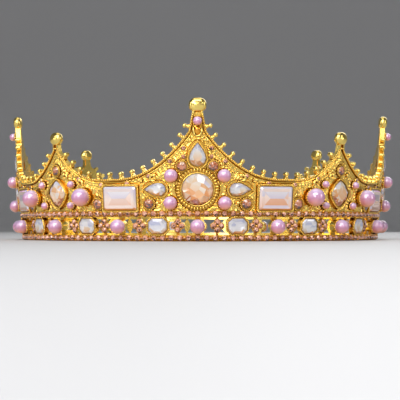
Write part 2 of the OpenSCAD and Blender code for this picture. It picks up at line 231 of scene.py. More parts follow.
def skin(rings, n):
    """Faces of a closed form: a pole, rings of n points one behind the other, and a second pole."""
    last = 1 + rings * n
    front = [(0, 1 + i, 1 + (i + 1) % n) for i in range(n)]
    return front + bands(rings, n, 1) + [(last, last - n + (i + 1) % n, last - n + i) for i in range(n)]


def moved(shape, *shift):
    return (shape[0] + np.array(shift),) + tuple(shape[1:])


def even_points(line, pitch, phase=0.0):
    """Points at even steps of about one pitch along a line."""
    run = np.concatenate([[0], np.cumsum(np.linalg.norm(np.diff(line, axis=0), axis=1))])
    count = max(int(run[-1] / pitch), 1)
    at = (np.arange(count) + phase) * run[-1] / count
    return np.column_stack([np.interp(at, run, line[:, 0]), np.interp(at, run, line[:, 1])])


# Plain shapes


def ball(d, wide=16, high=10, squash=(1.0, 1.0, 1.0), centre=(0.0, 0.0, 0.0)):
    """A ball with its poles along the outward axis."""
    tilts = math.pi * np.arange(1, high) / high
    rings = [level(circle(wide) * math.sin(t), math.cos(t)) for t in tilts]
    verts = np.concatenate([[(0.0, 0.0, 1.0)], *rings, [(0.0, 0.0, -1.0)]])
    return verts * (d / 2) * np.array(squash) + np.array(centre), skin(high - 1, wide)


DOME_FOOT = 0.3


def dome(d, height, wide, rows, base=0.0, centre=(0.0, 0.0)):
    """Half a bead, with a short straight foot below its widest ring."""
    tilts = math.pi / 2 * np.arange(rows) / rows
    rings = [level(circle(wide) * d / 2 * math.cos(t), height * math.sin(t)) for t in tilts]
    foot = level(circle(wide) * d / 2, -DOME_FOOT)
    verts = np.concatenate([foot, *rings, [(0.0, 0.0, height)]]) + np.array([*centre, base])
    faces = []
    for k in range(rows):
        faces += rising(k * wide, (k + 1) * wide, wide)
    a, top = rows * wide, len(verts) - 1
    faces += [(a + i, a + (i + 1) % wide, top) for i in range(wide)]
    return verts, faces


def ring_tube(outline, section):
    """A section of (distance outward from the outline, height) points swept round a closed outline."""
    sharpest = 0.6
    line = np.asarray(outline, float)
    n, m = len(line), len(section)
    before = unit(line - np.roll(line, 1, 0))
    after = unit(np.roll(line, -1, 0) - line)
    along = unit(before + after)
    mitre = 1 / np.clip(np.sqrt((1 + (before * after).sum(1)) / 2), sharpest, 1)
    outward = np.stack([along[:, 1], -along[:, 0]], 1) * mitre[:, None]
    faces = []
    for k in range(m):
        faces += rising(k * n, (k + 1) % m * n, n)
    return np.concatenate([level(line + outward * w, h) for w, h in section]), faces


def tube(path, radii, sides=8):
    """A closed tube along a path in the wall's plane, with a radius at each point."""
    p = np.asarray(path, float)
    r = np.broadcast_to(np.asarray(radii, float), (len(p),))
    tangent = unit(np.gradient(p, axis=0))
    side = unit(np.cross(tangent, (0.0, 0.0, 1.0)))
    over = np.cross(side, tangent)
    rings = [p[k] + r[k] * circle(sides) @ np.stack([side[k], over[k]]) for k in range(len(p))]
    last = len(p) * sides - 1
    ends = [tuple(range(sides)), tuple(range(last, last - sides, -1))]
    return np.concatenate(rings), bands(len(p), sides) + ends


def plate(outline, out, thick=0.03):
    n = len(outline)
    faces = [tuple(range(n)), tuple(range(2 * n - 1, n - 1, -1))] + strip(0, n, n)
    return np.concatenate([level(outline, out), level(outline, out - thick)]), faces


# Outlines of the stones

PEAR_WIDEST = 0.77
CUSHION_POWER = 1.45


def pear_outline(w, l, n=16):
    """A pear with its point up. Its half width follows sin t sin t/2, which is 0.77 at the widest."""
    t = 2 * math.pi * np.arange(n) / n
    return np.column_stack([w / 2 * np.sin(t) * np.sin(t / 2) / PEAR_WIDEST, l / 2 * np.cos(t)])[::-1]


def block_outline(w, h, c):
    """A rectangle with cut corners, anticlockwise from its right side's upper end."""
    x, y = w / 2, h / 2
    upper = [(x, y - c), (x - c, y), (c - x, y), (-x, y - c)]
    return np.array(upper + [(-p, -q) for p, q in upper])


def cushion_outline(d, n=16):
    """A square on its corner, with bulging sides."""
    way = circle(n)
    return d / 2 * np.sign(way) * np.abs(way) ** CUSHION_POWER


def round_outline(d, n=16):
    return circle(n) * d / 2


def scaled(outline, w):
    """The outline grown by about w millimetres all round."""
    half = np.abs(outline).max(0)
    return outline * (half + w) / half


# Cut stones

GIRDLE_OUT, GIRDLE_FOOT = 0.25, 0.97
KITE_SHARE, KITE_RISE = 0.84, 0.62
BELLY_SHARE, BELLY_DEPTH, KEEL_SHARE = 0.72, 0.62, 0.42
STONE_BACK = SEAT_FLOOR + SEAT_GAP


def brilliant(outline, top, table=0.55):
    """A stone with a table, star, kite and girdle facets over a facetted back.

    The outline has an even number of points. A ring is a share of it at a height of its own.
    """
    line = np.asarray(outline, float)
    n = len(line)
    half = n // 2
    middle = (line + np.roll(line, -1, 0))[::2] / 2
    verts = np.concatenate([
        level(line[::2] * table, top),
        level(middle * KITE_SHARE, GIRDLE_OUT + (top - GIRDLE_OUT) * KITE_RISE),
        level(line, GIRDLE_OUT),
        level(line * GIRDLE_FOOT, 0.0),
        level(middle * BELLY_SHARE, STONE_BACK * BELLY_DEPTH),
        level(line[::2] * KEEL_SHARE, STONE_BACK),
        [[0.0, 0.0, STONE_BACK]],
    ])
    # First points of the rings: table, kites, girdle and its foot, then the back's two and its middle
    t, m, g, s = 0, half, 2 * half, 2 * half + n
    p, b, c = s + n, s + n + half, s + n + 2 * half
    faces, marks = [tuple(range(t, t + half))], [0]
    for k in range(half):
        k1 = (k + 1) % half
        i0, i1, i2 = 2 * k, 2 * k + 1, (2 * k + 2) % n
        crown = [(t + k, m + k, t + k1), (t + k, g + i0, m + k), (t + k1, m + k, g + i2),
                 (m + k, g + i0, g + i1), (m + k, g + i1, g + i2)]
        back = [(b + k, b + k1, p + k), (b + k, p + k, s + i0), (b + k1, s + i2, p + k),
                (p + k, s + i1, s + i0), (p + k, s + i2, s + i1), (c, b + k1, b + k)]
        faces += crown + back
        marks += [0] * len(crown) + [1] * len(back)
    return verts, faces + strip(g, s, n), marks + [0] * n


# Inset as a share of the stone's smaller side, and depth as a share of the back's
BACK_STEPS = [(0.14, 0.42), (0.28, 0.72), (0.46, 1.0)]
CROWN_STEPS, CROWN_INSET, CROWN_RISE = 3, 0.42, 0.7
CORNER_LOSS, LEAST_CORNER, ROOF_HIP = 0.2, 0.12, 0.8


def step_cut(size, corner, top, table_inset, roof=0.0):
    """A rectangular stone with two steps round its table and a foiled back of three steps down to a keel.

    A roof makes the table four low facets, and four small ones at its corners, that rise to a ridge.
    """
    w, h = size

    def ring(inset, out):
        cut = max(corner - inset * CORNER_LOSS, LEAST_CORNER)
        return level(block_outline(w - 2 * inset, h - 2 * inset, cut), out)

    rings = [ring(table_inset, top - roof),
             ring(table_inset * CROWN_INSET, GIRDLE_OUT + (top - GIRDLE_OUT) * CROWN_RISE),
             ring(0.0, GIRDLE_OUT), level(block_outline(w, h, corner) * GIRDLE_FOOT, 0.0)]
    rings += [ring(min(size) * inset, STONE_BACK * share) for inset, share in BACK_STEPS]
    verts = np.concatenate(rings)
    n, last = len(rings[0]), len(verts) - 1
    faces = [tuple(range(n))] + bands(len(rings), n) + [tuple(range(last, last - n, -1))]
    marks = [0] * (1 + CROWN_STEPS * n) + [1] * (1 + len(BACK_STEPS) * n)
    if roof:
        reach = w / 2 - table_inset - ROOF_HIP * (h / 2 - table_inset)
        right, left = len(verts), len(verts) + 1
        verts = np.concatenate([verts, [(reach, 0.0, top), (-reach, 0.0, top)]])
        faces[:1] = [(right, 0, 1), (right, 1, 2, left), (left, 2, 3), (left, 3, 4), (left, 4, 5),
                     (left, 5, 6, right), (right, 6, 7), (right, 7, 0)]
        marks[:1] = [0] * 8
    return verts, faces, marks


CHATON_TABLE, CHATON_BACK, CHATON_DEPTH = 0.5, 0.6, 0.4


def chaton(d, top, sides=8):
    """A small round rhinestone: a table and a ring of facets over a low back."""
    verts = np.concatenate([
        level(circle(sides, 0.5) * d / 2 * CHATON_TABLE, top),
        level(circle(sides) * d / 2, 0.0),
        level(circle(sides) * d / 2 * CHATON_BACK, -CHATON_DEPTH),
    ])
    faces = [tuple(range(sides)), tuple(range(3 * sides - 1, 2 * sides - 1, -1))]
    for i in range(sides):
        faces += [(i, sides + i, sides + (i + 1) % sides), (i, sides + (i + 1) % sides, (i + 1) % sides)]
    return verts, faces + strip(sides, 2 * sides, sides)


# Material helpers


def set_inputs(node, values):
    for key, value in values.items():
        node.inputs[key].default_value = value


def node_material(name, values):
    """A material, its node tree and its shader, with plain values for the shader's inputs."""
    m = bpy.data.materials.new(name)
    m.use_nodes = True
    shader = m.node_tree.nodes["Principled BSDF"]
    set_inputs(shader, values)
    return m, m.node_tree, shader


def new_node(tree, kind, values=None, operation=None):
    node = tree.nodes.new(kind)
    if operation:
        node.operation = operation
    set_inputs(node, values or {})
    return node


def link(a, out, b, into):
    b.id_data.links.new(a.outputs[out], b.inputs[into])


def ramp_node(tree, stops):
    """A colour ramp from (place, colour) stops."""
    node = tree.nodes.new("ShaderNodeValToRGB")
    ramp = node.color_ramp
    while len(ramp.elements) < len(stops):
        ramp.elements.new(0.5)
    for e, (at, colour) in zip(ramp.elements, stops):
        e.position = at
        e.color = tuple(colour) + (1.0,)
    return node


def noise_node(tree, coords, scale, detail=2.0, roughness=0.55):
    node = new_node(tree, "ShaderNodeTexNoise", {"Scale": scale, "Detail": detail, "Roughness": roughness})
    link(coords, "Object", node, "Vector")
    return node


def range_node(tree, source, out, low, high):
    """Maps 0..1 to low..high."""
    node = new_node(tree, "ShaderNodeMapRange", {"To Min": low, "To Max": high})
    link(source, out, node, "Value")
    return node


def bump_node(tree, noise, shader, strength, depth_mm):
    """Fine relief in the shading, from a noise."""
    node = new_node(tree, "ShaderNodeBump", {"Strength": strength, "Distance": depth_mm * MM})
    link(noise, "Fac", node, "Height")
    link(node, "Normal", shader, "Normal")


# Gold

# Colours of the gold: pale on open surfaces, with amber and dark brown as painted shade in hollows
GOLD_PAINTED_SHADE = (0.20, 0.06, 0.003)
GOLD_MID = (0.88, 0.46, 0.05)
GOLD_PALE = (1.0, 0.76, 0.21)
DRIFT_TINT = [(0.3, (0.84, 0.70, 0.45)), (0.7, (1.0, 1.0, 1.0))]
DRIFT_SCALE, DRIFT_SHARE, GRAIN_DEPTH_MM = 160.0, 0.25, 0.12


def gold(name, roughness, grain_scale, grain, painted_shade_mm, pale=GOLD_PALE):
    """Gold plate: pale on what stands up, with painted shade that darkens it to amber and dark brown in
    what lies deep, and a fine cast grain.
    """
    m, tree, shader = node_material(name, {"Metallic": 1.0})
    coords = tree.nodes.new("ShaderNodeTexCoord")
    # Painted shade: ambient occlusion within this reach turns the colour from pale gold to amber and dark
    # brown in crevices
    ao = new_node(tree, "ShaderNodeAmbientOcclusion", {"Distance": painted_shade_mm * MM})
    ao.samples = 6
    tone = ramp_node(tree, [(0.27, GOLD_PAINTED_SHADE), (0.60, GOLD_MID), (0.95, pale)])
    link(ao, "AO", tone, "Fac")
    tint = ramp_node(tree, DRIFT_TINT)
    link(noise_node(tree, coords, DRIFT_SCALE), "Fac", tint, "Fac")
    mix = tree.nodes.new("ShaderNodeMix")
    mix.data_type = "RGBA"
    mix.blend_type = "MULTIPLY"
    mix.inputs["Factor"].default_value = DRIFT_SHARE
    link(tone, "Color", mix, "A")
    link(tint, "Color", mix, "B")
    link(mix, "Result", shader, "Base Color")
    fine = noise_node(tree, coords, grain_scale, 4.0, 0.65)
    shine = range_node(tree, fine, "Fac", roughness * 0.6, roughness * 1.5)
    link(shine, "Result", shader, "Roughness")
    bump_node(tree, fine, shader, grain, GRAIN_DEPTH_MM)
    return m


def frame_gold():
    """The CAD frame's gold: granular on its outer faces, smooth and bright on its inner ones."""
    m = gold("gold_frame", 0.24, 2600.0, 0.0, 1.6)
    tree = m.node_tree
    geometry = tree.nodes.new("ShaderNodeNewGeometry")
    flat = new_node(tree, "ShaderNodeVectorMath", {1: (1.0, 1.0, 0.0)}, "MULTIPLY")
    link(geometry, "Position", flat, 0)
    outward = new_node(tree, "ShaderNodeVectorMath", operation="NORMALIZE")
    link(flat, "Vector", outward, 0)
    facing = new_node(tree, "ShaderNodeVectorMath", operation="DOT_PRODUCT")
    link(geometry, "True Normal", facing, 0)
    link(outward, "Vector", facing, 1)
    grain = range_node(tree, facing, "Value", 0.04, 0.55)
    set_inputs(grain, {"From Min": -0.2, "From Max": 0.3})
    bump = next(n for n in tree.nodes if n.type == "BUMP")
    link(grain, "Result", bump, "Strength")
    return m


# Pearl: pink nacre with painted light, a painted orange reflection of the gold on its underside and painted
# pale lilac light on its top

PEARL_PAINTED_LIGHT = [(0.08, (0.88, 0.32, 0.12)), (0.22, (0.76, 0.27, 0.27)), (0.42, (0.56, 0.20, 0.35)),
                (0.56, (0.62, 0.29, 0.49)), (0.84, (0.72, 0.50, 0.76))]
NACRE = {
    "Roughness": 0.25, "Subsurface Weight": 0.06, "Subsurface Radius": (1.0, 0.5, 0.6),
    "Subsurface Scale": 0.5 * MM, "Coat Weight": 1.0, "Coat Roughness": 0.12, "Coat IOR": 2.3,
    "Sheen Weight": 0.15, "Sheen Roughness": 0.35, "Sheen Tint": (0.92, 0.80, 1.0, 1.0),
}


def pearl_material():
    """Pink nacre: a soft body under a clear lustre, with painted light from its underside to its top."""
    m, tree, shader = node_material("pearl_nacre", NACRE)
    coords = tree.nodes.new("ShaderNodeTexCoord")
    geometry = tree.nodes.new("ShaderNodeNewGeometry")
    # Painted light: the colour follows how far each point faces up, orange reflection below and lilac light
    # above, with a little noise
    parts = tree.nodes.new("ShaderNodeSeparateXYZ")
    link(geometry, "Normal", parts, "Vector")
    wander = range_node(tree, noise_node(tree, coords, 260.0), "Fac", 0.5 - 0.12, 0.5 + 0.12)
    rise = new_node(tree, "ShaderNodeMath", {1: 0.5}, "MULTIPLY_ADD")
    link(parts, "Z", rise, 0)
    link(wander, "Result", rise, 2)
    tone = ramp_node(tree, PEARL_PAINTED_LIGHT)
    link(rise, 0, tone, "Fac")
    link(tone, "Color", shader, "Base Color")
    bump_node(tree, noise_node(tree, coords, 900.0), shader, 0.05, 0.1)
    return m


# Stones


def facetted(name, look, stops, cell_mm, spread, rise, facing):
    """A material with the play of a cut stone: patches that change with the facet, and painted light
    towards its top.

    A cell wider than the stone gives each facet one tone. The three shares say how far patch, height and
    slope move the tone along the ramp. Height and slope paint light: upper parts and facets that face up
    move towards the ramp's pale end, and lower parts towards its dark end.
    """
    m, tree, shader = node_material(name, look)
    coords = tree.nodes.new("ShaderNodeTexCoord")
    geometry = tree.nodes.new("ShaderNodeNewGeometry")
    shifted = new_node(tree, "ShaderNodeVectorMath", {1: [2 * cell_mm * MM] * 3}, "MULTIPLY_ADD")
    link(geometry, "True Normal", shifted, 0)
    link(coords, "Object", shifted, 2)
    cells = new_node(tree, "ShaderNodeTexVoronoi", {"Scale": 1 / (cell_mm * MM)})
    link(shifted, "Vector", cells, "Vector")
    patch = tree.nodes.new("ShaderNodeSeparateXYZ")
    link(cells, "Color", patch, "Vector")
    lift = tree.nodes.new("ShaderNodeAttribute")
    lift.attribute_name = "lift"
    slope = tree.nodes.new("ShaderNodeSeparateXYZ")
    link(geometry, "True Normal", slope, "Vector")
    total = new_node(tree, "ShaderNodeMath", {1: spread, 2: 0.5 - spread / 2}, "MULTIPLY_ADD")
    link(patch, "X", total, 0)
    # Painted light: the higher a point sits in its stone and the more its facet faces up, the paler its
    # tone
    for source, out, share in ((lift, "Fac", rise), (slope, "Z", facing)):
        more = new_node(tree, "ShaderNodeMath", {1: share}, "MULTIPLY_ADD")
        link(source, out, more, 0)
        link(total, 0, more, 2)
        total = more
    tone = ramp_node(tree, stops)
    link(total, 0, tone, "Fac")
    link(tone, "Color", shader, "Base Color")
    return m


POLISH = {"IOR": 1.56, "Coat Weight": 1.0, "Coat Roughness": 0.02}


def glass_material(name, stops, cell_mm, clearness, spread=0.6, rise=0.16, facing=0.3):
    """The cut crown of a stone: tinted glass with milk in it and a high polish, paler towards its top by
    painted light.
    """
    look = {**POLISH, "Transmission Weight": clearness, "Roughness": 0.02, "Coat IOR": 1.9}
    return facetted(name, look, stops, cell_mm, spread, rise, facing)


def foil_material(name, stops, cell_mm, mirror=0.4, spread=0.6, rise=0.16, facing=0.0):
    """The foil behind a stone, which its colour comes from, paler towards its top by painted light."""
    look = {"Metallic": mirror, "Roughness": 0.14}
    return facetted(name, look, stops, cell_mm, spread, rise, facing)


def rhinestone_material(name, dark, light, pale):
    """Small foiled stones, seen as glossy tinted facets that painted light makes paler towards the top and
    where they face up.
    """
    look = {**POLISH, "Metallic": 0.3, "Roughness": 0.1}
    return facetted(name, look, [(0.2, dark), (0.4, light), (0.85, pale)], 0.7, 0.9, 0.16, 0.3)


# The materials: a gold's numbers are its roughness, grain scale, grain and the reach of its painted shade
# into crevices

FRAME_GOLD = frame_gold()
RELIEF_GOLD = gold("gold_relief", 0.18, 1200.0, 0.24, 1.4)
BRIGHT_GOLD = gold("gold_bright", 0.13, 1500.0, 0.06, 0.8)
RAIL_GOLD = gold("gold_rail", 0.2, 1500.0, 0.1, 1.2, (0.76, 0.43, 0.15))
SATIN_GOLD = gold("gold_satin", 0.2, 1500.0, 0.04, 0.8)
AMBER_GOLD = gold("gold_amber", 0.16, 1500.0, 0.04, 1.0, (0.90, 0.42, 0.06))
RIB_GOLD = gold("gold_rib", 0.16, 1500.0, 0.06, 0.06)
# Painted shade: a near-black gold for beds and edges laid where shade falls round stones, under ribs and
# behind the rails
PAINTED_SHADE_GOLD = gold("gold_painted_shade", 0.4, 1500.0, 0.2, 2.5, (0.10, 0.035, 0.008))
PEARL = pearl_material()

WHITE, LILAC, CREAM = (1.0, 0.99, 1.0), (0.84, 0.84, 1.0), (1.0, 0.86, 0.68)
PEACH, ORANGE, RUST = (1.0, 0.60, 0.30), (1.0, 0.38, 0.08), (0.50, 0.13, 0.03)
SALMON, GREY_LILAC, NEAR_BLACK = (1.0, 0.58, 0.40), (0.62, 0.66, 0.86), (0.06, 0.016, 0.008)
# The stones' ramps run from dark and orange to white and lilac. facetted moves each stone's upper part and
# up-facing facets towards the pale end and its lower part towards the dark end, so the ramps carry painted
# light as well as each stone's own tint
CHAMPAGNE_TONES = [(0.04, RUST), (0.14, ORANGE), (0.38, PEACH), (0.60, CREAM), (0.76, WHITE), (0.88, LILAC)]
BLUSH_TONES = [(0.10, ORANGE), (0.26, SALMON), (0.38, (1.0, 0.82, 0.72)), (0.48, (0.74, 0.66, 0.82)),
               (0.58, WHITE), (0.80, WHITE), (0.92, LILAC)]
BLUSH_BACK_TONES = [(0.10, ORANGE), (0.28, SALMON), (0.42, (1.0, 0.80, 0.70)), (0.54, (0.66, 0.58, 0.80)),
                    (0.62, WHITE)]
CLEAR_TONES = [(0.06, ORANGE), (0.16, PEACH), (0.32, CREAM), (0.42, WHITE), (0.58, WHITE),
               (0.66, GREY_LILAC), (0.76, LILAC), (0.90, WHITE)]
ROSE_TONES = [(0.28, (0.08, 0.02, 0.01)), (0.42, (0.70, 0.18, 0.05)), (0.66, (0.84, 0.32, 0.14)),
              (0.92, (1.0, 0.70, 0.48))]
SILVER_TONES = [(0.2, (0.66, 0.62, 0.70)), (0.8, (0.86, 0.82, 0.88))]

# Width in millimetres of the patches in the stones: one tone to a facet in the baguettes
CUT_CELL, CLEAR_CELL, ROSE_CELL, SILVER_CELL, FACET_CELL = 3.4, 3.6, 0.9, 2.0, 40.0
CHAMPAGNE_GLASS = glass_material("glass_champagne", CHAMPAGNE_TONES, CUT_CELL, 0.35, 0.5, 0.2)
BLUSH_GLASS = glass_material("glass_blush", BLUSH_TONES, FACET_CELL, 0.25, 0.3, 0.1, 0.7)
CLEAR_GLASS = glass_material("glass_clear", CLEAR_TONES, CLEAR_CELL, 0.5, 0.4, 0.26)
ROSE_GLASS = glass_material("glass_rose", ROSE_TONES, ROSE_CELL, 0.35)
CHAMPAGNE_FOIL = foil_material("foil_champagne", CHAMPAGNE_TONES, CUT_CELL, 0.4, 0.6, 0.3)
BLUSH_FOIL = foil_material("foil_blush", BLUSH_BACK_TONES, FACET_CELL, 0.1, 0.36, 0.1, 0.8)
CLEAR_FOIL = foil_material("foil_clear", CLEAR_TONES, CLEAR_CELL, 0.4, 0.7, 0.24)
ROSE_FOIL = foil_material("foil_rose", ROSE_TONES, ROSE_CELL)
SILVER_FOIL = foil_material("foil_silver", SILVER_TONES, SILVER_CELL, 0.85)
DARK_STONE = rhinestone_material("rhinestone_dark", NEAR_BLACK, (0.52, 0.20, 0.10), (0.90, 0.50, 0.34))
PINK_STONE = rhinestone_material("rhinestone_pink", NEAR_BLACK, (0.66, 0.26, 0.16), (0.94, 0.56, 0.42))

# Stones: the plain solids of the frame are replaced by fully cut ones of the same form

ROUND_TOP, PEAR_TOP, BLOCK_TOP, SMALL_TOP = 2.2, 1.6, 1.5, 1.0
TABLE_INSET, BAGUETTE_ROOF, GALLERY_INSET = 2.0, 0.45, 1.1

ROUND_CUT = brilliant(round_outline(ROUND_D), ROUND_TOP, 0.52)
TOP_PEAR_CUT = brilliant(pear_outline(*TOP_PEAR), PEAR_TOP)
SIDE_PEAR_CUT = brilliant(pear_outline(*SIDE_PEAR), PEAR_TOP)
BAGUETTE_CUT = step_cut(BAGUETTE, BAGUETTE_CORNER, BLOCK_TOP, TABLE_INSET, BAGUETTE_ROOF)
CUSHION_CUT = brilliant(cushion_outline(CUSHION_D), PEAR_TOP)
GALLERY_CUT = step_cut(GALLERY_STONE, GALLERY_CORNER, SMALL_TOP, GALLERY_INSET)
CHAMPAGNE = (CHAMPAGNE_GLASS, CHAMPAGNE_FOIL)
BLUSH = (BLUSH_GLASS, BLUSH_FOIL)
CLEAR = (CLEAR_GLASS, CLEAR_FOIL)


def stone_piece(name, slot, shapes, materials, replaced):
    pile = Pile()
    for shape, place in shapes:
        pile.add(shape, place)
    pile.build(name, slot, materials, smooth=False, replaced=[replaced])


# Piece, the solid that it replaces, slot, places, cut and materials
for name, solid, slot, places, cut, materials in (
        ("round_cut", "round_stone", "champagne_stone", ROUND_AT, ROUND_CUT, CHAMPAGNE),
        ("top_pear_cut", "top_pear", "champagne_stone", TOP_PEAR_AT, TOP_PEAR_CUT, CLEAR),
        ("side_pear_cut", "side_pear", "clear_stone", SIDE_PEAR_AT, SIDE_PEAR_CUT, CLEAR),
        ("baguette_cut", "baguette", "champagne_stone", BAGUETTE_AT, BAGUETTE_CUT, BLUSH),
        ("cushion_cut", "cushion_stone", "champagne_stone", CUSHION_AT, CUSHION_CUT, CHAMPAGNE)):
    for i, place in enumerate(places):
        stone_piece(f"{name}_{i + 1}", slot, [(cut, place)], materials, f"{solid}_{i + 1}")
gallery_cuts = [(GALLERY_CUT, place) for place in GALLERY_STONE_AT]
stone_piece("gallery_cuts", "clear_stone", gallery_cuts, CLEAR, "gallery_stones")
rose_cuts = [(brilliant(round_outline(place[3]), SMALL_TOP, 0.5), place) for place in ROSE_AT]
stone_piece("rose_cuts", "rose_stone", rose_cuts, (ROSE_GLASS, ROSE_FOIL), "rose_stones")

# Silvered backs, seen through the holes behind the stones

BACKING = STONE_BACK - 0.02
backs = Pile()
for places, outline in (
        (ROUND_AT, round_outline(ROUND_D * 0.64, 24)),
        (TOP_PEAR_AT, pear_outline(*TOP_PEAR) * 0.68),
        (SIDE_PEAR_AT, pear_outline(*SIDE_PEAR) * 0.68),
        (BAGUETTE_AT, block_outline(BAGUETTE[0] * 0.66, BAGUETTE[1] * 0.66, 0.3)),
        (CUSHION_AT, round_outline(5.0, 20)),
        (GALLERY_STONE_AT, block_outline(GALLERY_STONE[0] * 0.76, GALLERY_STONE[1] * 0.76, 1.1))):
    for place in places:
        backs.add(plate(outline, BACKING), place)
backs.build("stone_backs", "clear_stone", [SILVER_FOIL], smooth=False)

# Pearls: solid or group of solids in the frame, places, diameter and beads in a collar

PEARLS = [
    ("big_pearl", BIG_PEARL_AT, BIG_PEARL_D, 20),
    ("crest_pearls", CREST_PEARL_AT, CREST_PEARL_D, 16),
    ("tip_pearls", TIP_PEARL_AT, TIP_PEARL_D, 11),
    ("small_pearls", SMALL_PEARL_AT, SMALL_PEARL_D, 10),
    ("gallery_pearls", GALLERY_PEARL_AT, GALLERY_PEARL_D, 18),
]
CREST_ROWS = PEARLS[:-1]


def pearl_piece(name, places, d, replaced):
    pile = Pile()
    for place in places:
        pile.add(ball(d, 36, 20, centre=(0.0, 0.0, pearl_out(d))), place)
    pile.build(name, "pink_pearl", [PEARL], replaced=[replaced])


for i, place in enumerate(BIG_PEARL_AT):
    pearl_piece(f"big_pearl_fine_{i + 1}", [place], BIG_PEARL_D, f"big_pearl_{i + 1}")
for name, places, d, _ in PEARLS[1:]:
    pearl_piece(name + "_fine", places, d, name)

# Bezels: thin rolled walls with milgrain and a painted shade line along the edge over each stone, and ribs
# on a painted shade bed round each round stone


def lip(low, high, wall):
    """The section of a bezel: outer foot, rolled top, and the edge that leans over the stone."""
    return [(0.0, low), (wall, low), (wall, high * 0.62 + low * 0.38), (wall * 0.8, high), (0.1, high),
            (-0.12, high - 0.1), (0.02, high - 0.3)]


RIBS, RIB_R, RIB_OUT, RIB_SHARES = 40, 7.2, 0.5, (1.9, 0.62, 1.1)
ROUND_LIP_H, ROUND_LIP_WALL, LIP_WALL = 0.85, 0.3, 0.22
RIB_SHADE_BED = [(0.2, 0.0), (1.7, 0.0), (1.7, 0.04), (0.2, 0.04)]
bezels, beds, ribs = Pile(), Pile(), Pile()
round_line = round_outline(ROUND_D, 48)
for place in ROUND_AT:
    # Painted shade: a dark bed under the ribs
    beds.add(ring_tube(round_line, RIB_SHADE_BED), place)
    bezels.add(ring_tube(round_line, lip(0.0, ROUND_LIP_H, ROUND_LIP_WALL)), place)
    for k in range(RIBS):
        rib = ball(1.0, 8, 6, RIB_SHARES, (RIB_R, 0.0, RIB_OUT))
        ribs.add(rib, (place[0], place[1], 360 * k / RIBS))

# Places, outline, and the heights of the foot and the top
COLLETS = [
    (TOP_PEAR_AT, pear_outline(*TOP_PEAR, 32), 0.2, 0.72),
    (SIDE_PEAR_AT, pear_outline(*SIDE_PEAR, 32), 0.2, 0.72),
    (BAGUETTE_AT, block_outline(*BAGUETTE, BAGUETTE_CORNER), 0.2, 0.6),
    (CUSHION_AT, cushion_outline(CUSHION_D, 32), 0.2, 0.7),
    (GALLERY_STONE_AT, block_outline(*GALLERY_STONE, GALLERY_CORNER), 0.2, 0.6),
] + [([place], round_outline(place[3], 20), 0.0, 0.5) for place in ROSE_AT]
MILGRAIN_D, MILGRAIN_PITCH, MILGRAIN_OUT, MILGRAIN_RISE = 0.56, 0.62, 0.46, 0.1
PAINTED_SHADE_EDGE = [(-0.12, -0.14), (0.1, -0.02), (0.1, 0.03), (-0.12, -0.06)]
milgrain = ball(MILGRAIN_D, 6, 5)
for places, outline, low, high in COLLETS:
    wall = ring_tube(outline, lip(low, high, LIP_WALL))
    # Painted shade: a dark line between the stone and the lip of its bezel
    edge = ring_tube(outline, [(out, high + rise) for out, rise in PAINTED_SHADE_EDGE])
    grown = scaled(outline, MILGRAIN_OUT)
    spots = even_points(np.vstack([grown, grown[:1]]), MILGRAIN_PITCH)
    for place in places:
        bezels.add(wall, place)
        beds.add(edge, place)
        for x, y in spots:
            bezels.add(moved(milgrain, x, y, low + MILGRAIN_RISE), place)
bezels.build("bezels", "gold", [BRIGHT_GOLD])
ribs.build("bezel_ribs", "gold", [RIB_GOLD])

# Collars of beads under the pearls

COLLAR_SHARE, COLLAR_DROP, BEAD_FILL = 0.42, 0.27, 0.98
collars = Pile()
for _, places, d, beads in PEARLS:
    r = d * COLLAR_SHARE
    bead = ball(2 * math.pi * r / beads * BEAD_FILL, 7, 5)
    for place in places:
        for x, y in circle(beads, 0.5) * r:
            collars.add(moved(bead, x, y, pearl_out(d) - d * COLLAR_DROP), place)
collars.build("pearl_collars", "gold", [BRIGHT_GOLD])

# Rails: a row of pink stones in gold cups on a dark band of painted shade, with chips and grains between
# them and a beaded edge


def cup(d, wall, foot, top, sides):
    """A small stone's ring: straight outside, rounded at the top and leaning over the stone."""
    return ring_tube(round_outline(d, sides), [(0.0, foot), (wall, foot), *top])


RAIL_STEP, RAIL_STONE_D, CHIP_D = 2.5, 2.2, 0.86
RAIL_BED_H, RAIL_BED_OUT, HOOP_SIDES = 1.9, 0.03, 288
GRAIN_AZ, GRAIN_Z = 0.34, 0.66
EDGE_BEADS, EDGE_INSET = 720, 0.26
rail_stones, rail_gold = Pile(), Pile()
rail_cup = cup(RAIL_STONE_D, 0.1, -0.1, [(0.1, 0.12), (0.04, 0.18), (-0.03, 0.12)], 12)
rail_stone = moved(chaton(RAIL_STONE_D, 0.6), 0.0, 0.0, 0.12)
grain = dome(0.5, 0.66, 6, 2)
edge_bead = dome(0.34, 0.16, 6, 2)
chip = chaton(CHIP_D, 0.42)
for middle in (RAIL_H / 2, UPPER_RAIL_Z + RAIL_H / 2):
    low, high = middle - RAIL_BED_H / 2, middle + RAIL_BED_H / 2
    # Painted shade: a dark band behind the rail, seen between its stones and cups
    corners = [(low, 0.0), (low, RAIL_BED_OUT), (high, RAIL_BED_OUT), (high, 0.0)]
    shade_band = [(cone_r(z) - RIM_R + out, z) for z, out in corners]
    beds.add(ring_tube(round_outline(2 * RIM_R, HOOP_SIDES), shade_band))
    for k in range(int(360 / RAIL_STEP)):
        az, between = k * RAIL_STEP, (k + 0.5) * RAIL_STEP
        rail_stones.add(rail_stone, (az, middle))
        rail_gold.add(rail_cup, (az, middle))
        rail_stones.add(chip, (between, middle))
        for side in (-1, 1):
            for rise in (-GRAIN_Z, GRAIN_Z):
                rail_gold.add(grain, (between + side * GRAIN_AZ, middle + rise))
    for k in range(EDGE_BEADS):
        for rise in (EDGE_INSET - RAIL_H / 2, RAIL_H / 2 - EDGE_INSET):
            rail_gold.add(edge_bead, (360 * k / EDGE_BEADS, middle + rise))
